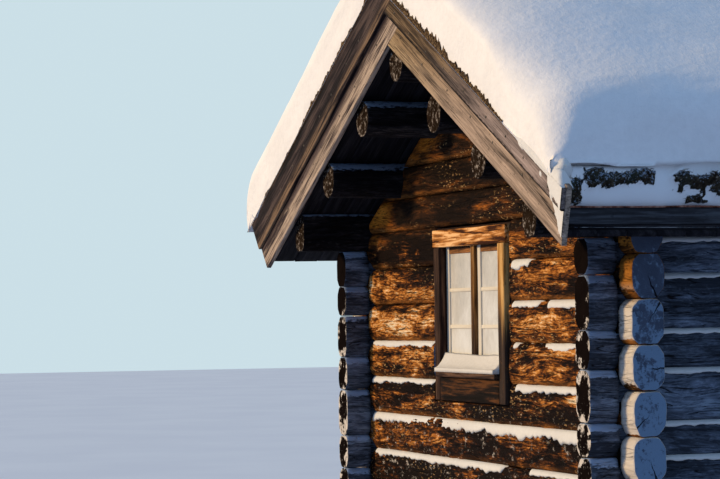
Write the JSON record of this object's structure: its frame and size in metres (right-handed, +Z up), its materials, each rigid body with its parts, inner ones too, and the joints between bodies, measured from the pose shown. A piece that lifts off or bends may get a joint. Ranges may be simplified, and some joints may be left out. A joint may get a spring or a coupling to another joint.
{
  "type": "log cabin with a turf roof",
  "caption": "Small gabled cabin of notched hewn logs with a casement window, plank door, stone footing and a turf roof held by bargeboards under deep snow.",
  "frame": {"origin": "on the ground at the centre of the plan, at the bottom centre of the bounding box", "axes": "+Z up; +Y along the ridge, from the window gable at -Y to the door gable at +Y; +X across the gables"},
  "size_m": [5.1412, 5.364, 3.6874],
  "materials": {
    "stone": "rough field stone",
    "log_wood": "hewn, tarred and sun-worn pine",
    "plank_wood": "rough sawn, aged",
    "birch_bark": "dry birch bark",
    "turf": "frosted turf with dry grass",
    "snow": "dry wind-packed snow",
    "grey_board": "weathered grey board",
    "casing_wood": "worn tarred board",
    "sash_paint": "old cream paint on wood",
    "window_glass": "frosted by rime",
    "black_iron": "forged, dull"
  },
  "bodies": {
    "root": {"foundation": "stone", "floor_joists": "plank_wood", "floor": "plank_wood", "front_wall": "log_wood", "back_wall": "log_wood", "left_wall": "log_wood", "right_wall": "log_wood", "front_gable": "log_wood", "back_gable": "log_wood", "left_wall_plate": "log_wood", "right_wall_plate": "log_wood", "left_lower_purlin": "log_wood", "right_lower_purlin": "log_wood", "left_upper_purlin": "log_wood", "right_upper_purlin": "log_wood", "ridge_purlin": "log_wood", "left_roof_boards": "plank_wood", "right_roof_boards": "plank_wood", "left_birch_bark": "birch_bark", "right_birch_bark": "birch_bark", "left_turf": "turf", "right_turf": "turf", "left_roof_snow": "snow", "right_roof_snow": "snow", "left_eave_board": "grey_board", "right_eave_board": "grey_board", "front_lower_bargeboards": "grey_board", "front_upper_bargeboards": "grey_board", "back_lower_bargeboards": "grey_board", "back_upper_bargeboards": "grey_board", "window_frame": "casing_wood", "window_casing": "casing_wood", "window_mullion": "casing_wood", "left_casement": "sash_paint", "right_casement": "sash_paint", "window_glass": "window_glass", "window_sill": "casing_wood", "sill_snow": "snow", "door_frame": "casing_wood", "door_casing": "casing_wood", "door_threshold": "casing_wood", "door_leaf": "casing_wood", "door_hinges": "black_iron", "door_handle": "casing_wood"}
  },
  "joints": []
}
